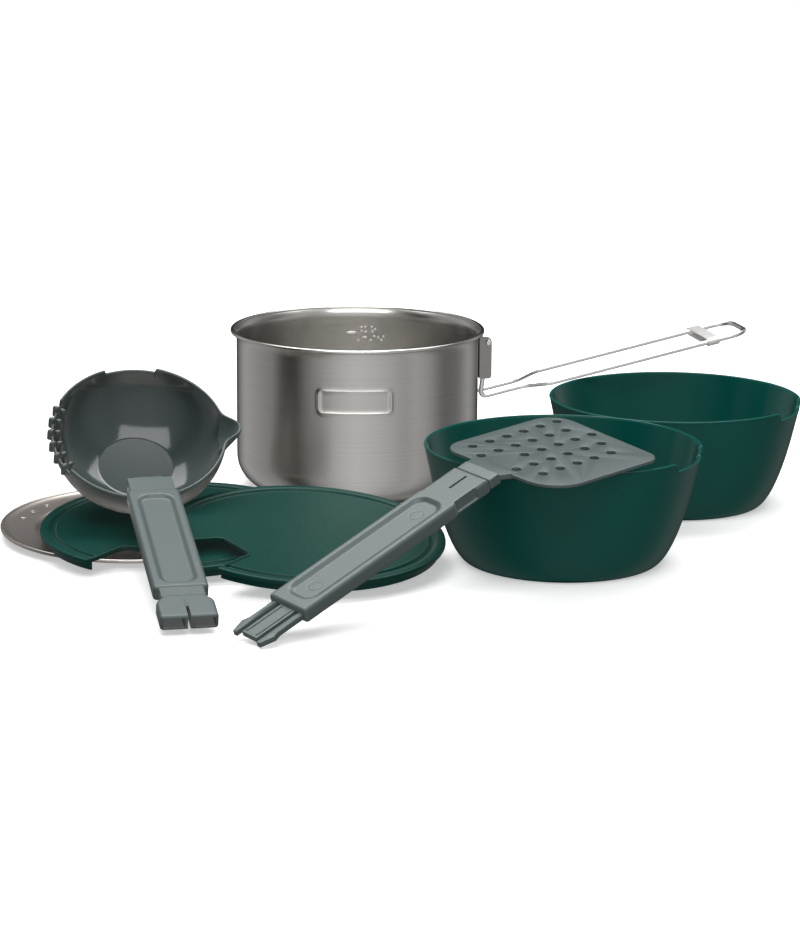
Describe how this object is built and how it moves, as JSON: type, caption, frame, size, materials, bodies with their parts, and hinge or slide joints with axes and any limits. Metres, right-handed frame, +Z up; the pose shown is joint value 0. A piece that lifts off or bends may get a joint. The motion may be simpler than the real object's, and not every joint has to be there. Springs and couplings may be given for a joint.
{
  "type": "cooking pot set",
  "caption": "Camping cook set: pot with folding wire handle, vented lid, nesting bowls with cutting-board lids, folding ladle and perforated spatula.",
  "frame": {"origin": "centre of the pot's base, on the ground", "axes": "+X to the side of the pot's handle, +Y away from the front, +Z up"},
  "size_m": [0.4847, 0.4521, 0.1013],
  "materials": {
    "steel": "brushed stainless steel",
    "wire": "bright stainless wire and sheet",
    "green": "dark green moulded plastic, glossy inside and satin outside",
    "grey": "satin grey nylon"
  },
  "bodies": {
    "pot": {"pot_body": "steel", "handle_bracket": "steel"},
    "pot_handle": {"pot_handle_wire": "wire"},
    "clip": {"handle_clip": "wire"},
    "lid": {"steel_lid": "steel"},
    "board_small": {"small_board_lid": "green"},
    "board_large": {"large_board_lid": "green"},
    "bowl_large": {"large_bowl": "green"},
    "bowl_small": {"small_bowl": "green"},
    "ladle": {"ladle_bowl": "grey", "ladle_hinge_pin": "wire"},
    "ladle_grip": {"ladle_handle": "grey"},
    "spatula": {"spatula_blade": "grey"},
    "spatula_grip": {"spatula_handle": "grey", "spatula_prongs": "grey"}
  },
  "joints": [
    {"name": "handle_fold", "type": "hinge", "parent": "pot", "child": "pot_handle", "pos_m": [0.08009, 0.01849, 0.0908], "axis": [0.225, -0.9744, 0], "range_deg": [0, 172]},
    {"name": "clip_slide", "type": "slide", "parent": "pot_handle", "child": "clip", "axis": [-0.9524, -0.2199, -0.2113], "range_m": [-0.006, 0.08]},
    {"name": "lid_lift", "type": "slide", "parent": "pot", "child": "lid", "axis": [-0.6, 0, 0.8], "range_m": [0, 0.06]},
    {"name": "board_small_lift", "type": "slide", "parent": "lid", "child": "board_small", "axis": [-0.6, 0, 0.8], "range_m": [0, 0.06]},
    {"name": "board_large_lift", "type": "slide", "parent": "board_small", "child": "board_large", "axis": [-0.6, 0, 0.8], "range_m": [0, 0.06]},
    {"name": "ladle_lift", "type": "slide", "parent": "board_large", "child": "ladle", "axis": [0, 0, 1], "range_m": [0, 0.06]},
    {"name": "ladle_fold", "type": "hinge", "parent": "ladle", "child": "ladle_grip", "pos_m": [-0.11667, -0.1868, 0.04449], "axis": [-0.9778, -0.2096, 0], "range_deg": [0, 150]},
    {"name": "bowl_large_lift", "type": "slide", "parent": "pot", "child": "bowl_large", "axis": [0, 0, 1], "range_m": [0, 0.06]},
    {"name": "bowl_small_pull", "type": "slide", "parent": "pot", "child": "bowl_small", "axis": [1, 0, 0], "range_m": [0, 0.05]},
    {"name": "spatula_lift", "type": "slide", "parent": "bowl_large", "child": "spatula", "axis": [0, 0, 1], "range_m": [0, 0.05]},
    {"name": "handle_unplug", "type": "slide", "parent": "spatula", "child": "spatula_grip", "axis": [-0.719, -0.5817, -0.3804], "range_m": [0, 0.03]}
  ]
}
